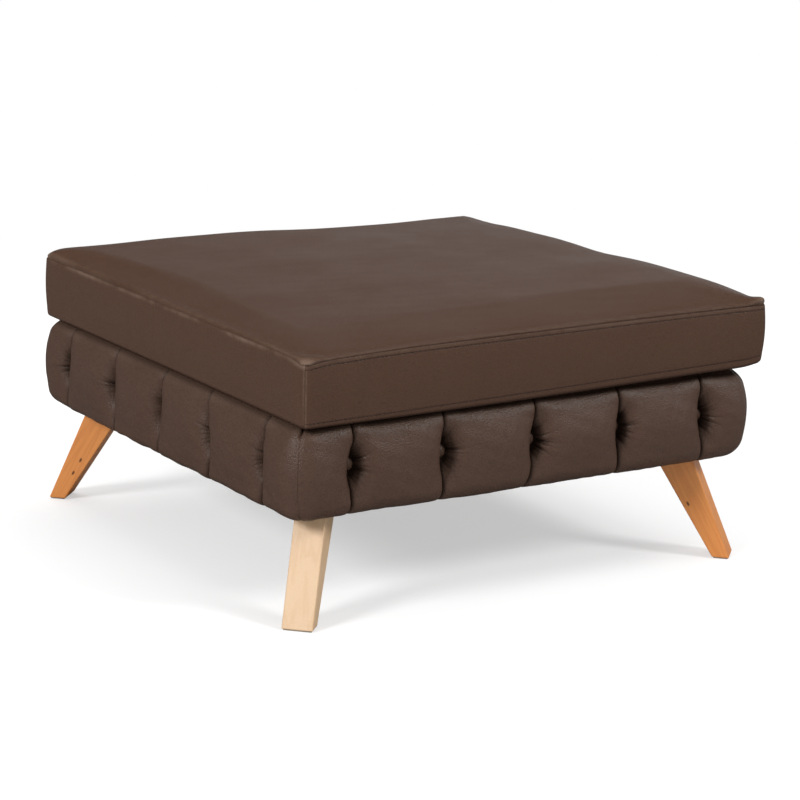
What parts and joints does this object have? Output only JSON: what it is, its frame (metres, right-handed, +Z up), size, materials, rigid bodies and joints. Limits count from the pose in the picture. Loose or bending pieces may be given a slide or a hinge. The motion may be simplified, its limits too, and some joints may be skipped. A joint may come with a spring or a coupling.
{
  "type": "upholstered ottoman",
  "caption": "Square upholstered ottoman: a buttoned and pleated leather base on splayed wooden legs, with a loose box cushion that lifts off.",
  "frame": {"origin": "on the floor, under the middle of the base", "axes": "+Z up; -Y is the front, the right-hand face in the picture; the zip is at +Y"},
  "size_m": [0.8052, 0.8042, 0.4003],
  "materials": {
    "leather": "satin",
    "beech": "satin",
    "timber": "matte",
    "foam": "matte",
    "fibre": "matte",
    "webbing": "matte",
    "platform_cloth": "matte",
    "black_cloth": "matte",
    "felt": "matte",
    "twine": "matte",
    "steel": "satin",
    "zip_brass": "satin"
  },
  "bodies": {
    "base": {"front_rail": "timber", "back_rail": "timber", "left_rail": "timber", "right_rail": "timber", "middle_rail": "timber", "corner_block_front_left": "timber", "corner_block_front_right": "timber", "corner_block_back_right": "timber", "corner_block_back_left": "timber", "frame_screws": "steel", "block_screws": "steel", "front_rail_foam": "foam", "right_rail_foam": "foam", "back_rail_foam": "foam", "left_rail_foam": "foam", "front_cover": "leather", "right_cover": "leather", "back_cover": "leather", "left_cover": "leather", "front_buttons": "leather", "right_buttons": "leather", "back_buttons": "leather", "left_buttons": "leather", "tufting_twine": "twine", "twine_washers": "steel", "webbing_across": "webbing", "webbing_front_to_back": "webbing", "webbing_staples": "steel", "deck_foam": "foam", "platform_cloth": "platform_cloth", "dust_cover": "black_cloth", "dust_cover_staples": "steel", "front_left_leg": "beech", "front_right_leg": "beech", "back_right_leg": "beech", "back_left_leg": "beech", "leg_screws": "steel", "leg_washers": "steel", "front_left_foot_pad": "felt", "front_right_foot_pad": "felt", "back_right_foot_pad": "felt", "back_left_foot_pad": "felt"},
    "cushion": {"cushion_foam": "foam", "cushion_fibre_wrap": "fibre", "cushion_top_panel": "leather", "cushion_bottom_panel": "leather", "cushion_front_border": "leather", "cushion_right_border": "leather", "cushion_back_border": "leather", "cushion_left_border": "leather", "zip_tape": "black_cloth", "zip_chain": "zip_brass"},
    "zip_slider": {"zip_slider": "zip_brass"},
    "zip_pull": {"zip_pull": "zip_brass"}
  },
  "joints": [
    {"name": "cushion_lift", "type": "slide", "parent": "base", "child": "cushion", "axis": [0, 0, 1], "range_m": [0, 0.25]},
    {"name": "zip_slide", "type": "slide", "parent": "cushion", "child": "zip_slider", "axis": [1, 0, 0], "range_m": [0, 0.578]},
    {"name": "zip_pull_swing", "type": "hinge", "parent": "zip_slider", "child": "zip_pull", "pos_m": [-0.282, 0.39, 0.3393], "axis": [0, 0, 1], "range_deg": [0, 180]}
  ]
}
